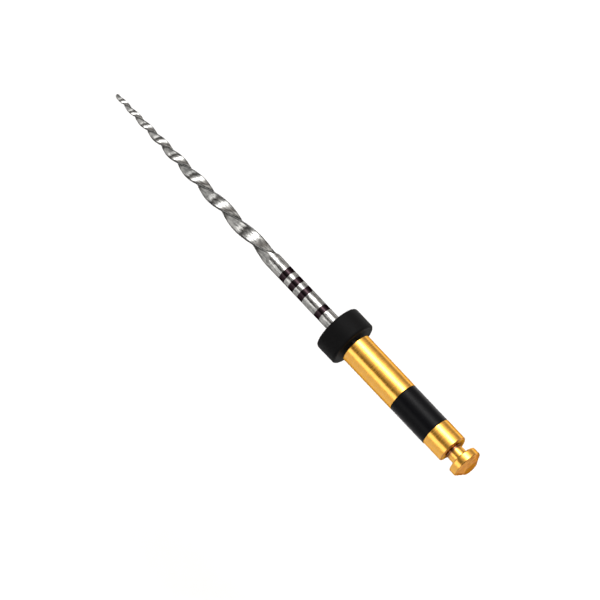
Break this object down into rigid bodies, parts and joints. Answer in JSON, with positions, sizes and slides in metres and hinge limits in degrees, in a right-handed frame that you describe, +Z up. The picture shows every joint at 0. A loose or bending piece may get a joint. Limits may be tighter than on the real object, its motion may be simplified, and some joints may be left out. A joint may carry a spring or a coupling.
{
  "type": "endodontic file",
  "caption": "Nickel-titanium root canal file: tapered left-hand fluted blade, plain shaft with depth rings, sliding stop and gilt latch shank with a black size ring.",
  "frame": {"origin": "on the file's axis, at the front face of the handle", "axes": "+X along the axis from the tip towards the latch end, +Z up, with the drive flat of the latch end facing -Z"},
  "size_m": [0.0369, 0.0038, 0.0038],
  "materials": {
    "nickel_titanium": "ground and electropolished nickel-titanium",
    "mark": "dark burnt-in ring",
    "adhesive": "cured adhesive",
    "gilt_brass": "turned brass, gold plated, satin",
    "size_ring": "satin black plastic",
    "silicone": "matt black silicone rubber"
  },
  "bodies": {
    "file": {"file_shaft": "nickel_titanium", "depth_mark_18": "mark", "depth_mark_19": "mark", "depth_mark_20": "mark", "depth_mark_22": "mark", "bond_sleeve": "adhesive", "handle": "gilt_brass", "colour_band": "size_ring"},
    "stop_ring": {"stop": "silicone"}
  },
  "joints": [
    {"name": "stop_slide", "type": "slide", "parent": "file", "child": "stop_ring", "axis": [-1, 0, 0], "range_m": [0, 0.0066]}
  ]
}
